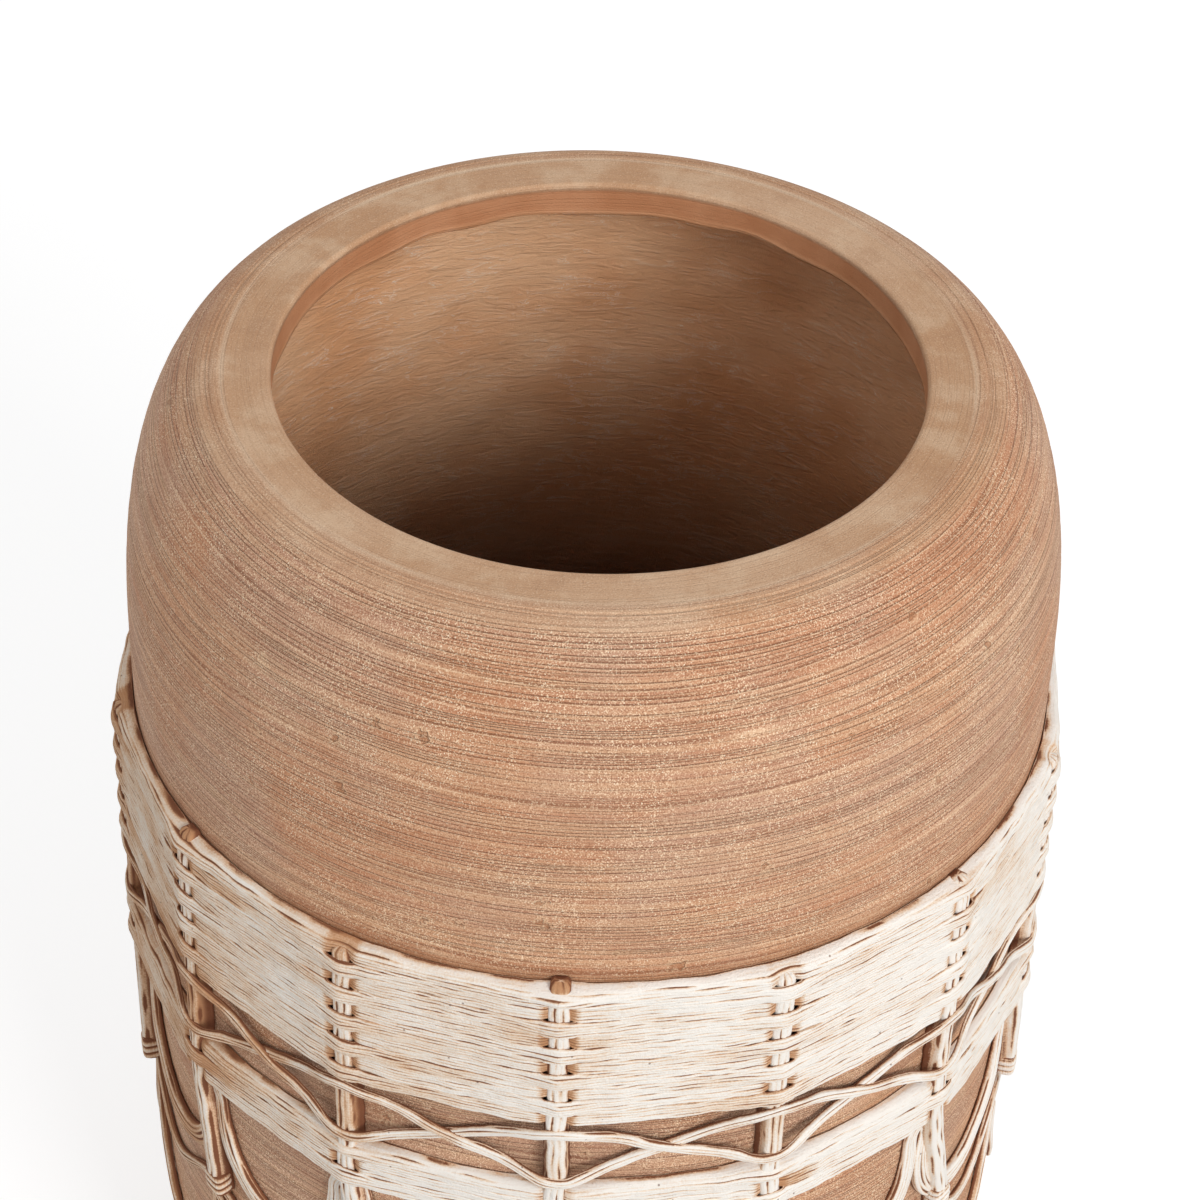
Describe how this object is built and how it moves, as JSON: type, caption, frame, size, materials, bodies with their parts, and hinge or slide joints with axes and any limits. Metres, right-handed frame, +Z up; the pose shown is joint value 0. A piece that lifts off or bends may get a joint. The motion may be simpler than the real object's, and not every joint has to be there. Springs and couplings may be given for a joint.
{
  "type": "planter",
  "caption": "Tall turned planter with a broad lip and rounded shoulder, its wall wrapped in woven reed bands, a crossing lattice and hanging swags, with a drain plug.",
  "frame": {"origin": "centre of the base, on the ground the foot ring stands on", "axes": "+Z up along the pot's axis of revolution, -Y to the front, through the first stake"},
  "size_m": [0.3964, 0.4007, 0.557],
  "materials": {
    "turned_clay": "dry turned fibre clay, dusty ridges",
    "woven_reed": "whitewashed flat reed, brown in its recesses",
    "lattice_reed": "whitewashed flat reed",
    "swag_reed": "whitewashed flat reed, less wash on it",
    "stake_reed": "whitewashed round reeds laid side by side",
    "tie_reed": "whitewashed binding",
    "black_rubber": "matt moulded rubber"
  },
  "bodies": {
    "pot": {"pot_shell": "turned_clay", "upper_course_01": "woven_reed", "upper_course_02": "woven_reed", "upper_course_03": "woven_reed", "upper_course_04": "woven_reed", "upper_course_05": "woven_reed", "upper_course_06": "woven_reed", "upper_course_07": "woven_reed", "upper_course_08": "woven_reed", "upper_course_09": "woven_reed", "upper_course_10": "woven_reed", "lower_course_1": "woven_reed", "lower_course_2": "woven_reed", "lower_course_3": "woven_reed", "lattice_strand_a": "lattice_reed", "lattice_strand_b": "lattice_reed", "swag_strand_upper": "swag_reed", "swag_strand_middle": "swag_reed", "swag_strand_lower": "swag_reed", "stake_01": "stake_reed", "stake_02": "stake_reed", "stake_03": "stake_reed", "stake_04": "stake_reed", "stake_05": "stake_reed", "stake_06": "stake_reed", "stake_07": "stake_reed", "stake_08": "stake_reed", "stake_09": "stake_reed", "stake_10": "stake_reed", "stake_11": "stake_reed", "stake_12": "stake_reed", "stake_13": "stake_reed", "stake_14": "stake_reed", "stake_tie_01": "tie_reed", "stake_tie_02": "tie_reed", "stake_tie_03": "tie_reed", "stake_tie_04": "tie_reed", "stake_tie_05": "tie_reed", "stake_tie_06": "tie_reed", "stake_tie_07": "tie_reed", "stake_tie_08": "tie_reed", "stake_tie_09": "tie_reed", "stake_tie_10": "tie_reed", "stake_tie_11": "tie_reed", "stake_tie_12": "tie_reed", "stake_tie_13": "tie_reed", "stake_tie_14": "tie_reed"},
    "plug": {"drain_plug": "black_rubber"}
  },
  "joints": [
    {"name": "plug_pull", "type": "slide", "parent": "pot", "child": "plug", "axis": [0, 0, 1], "range_m": [0, 0.56]}
  ]
}
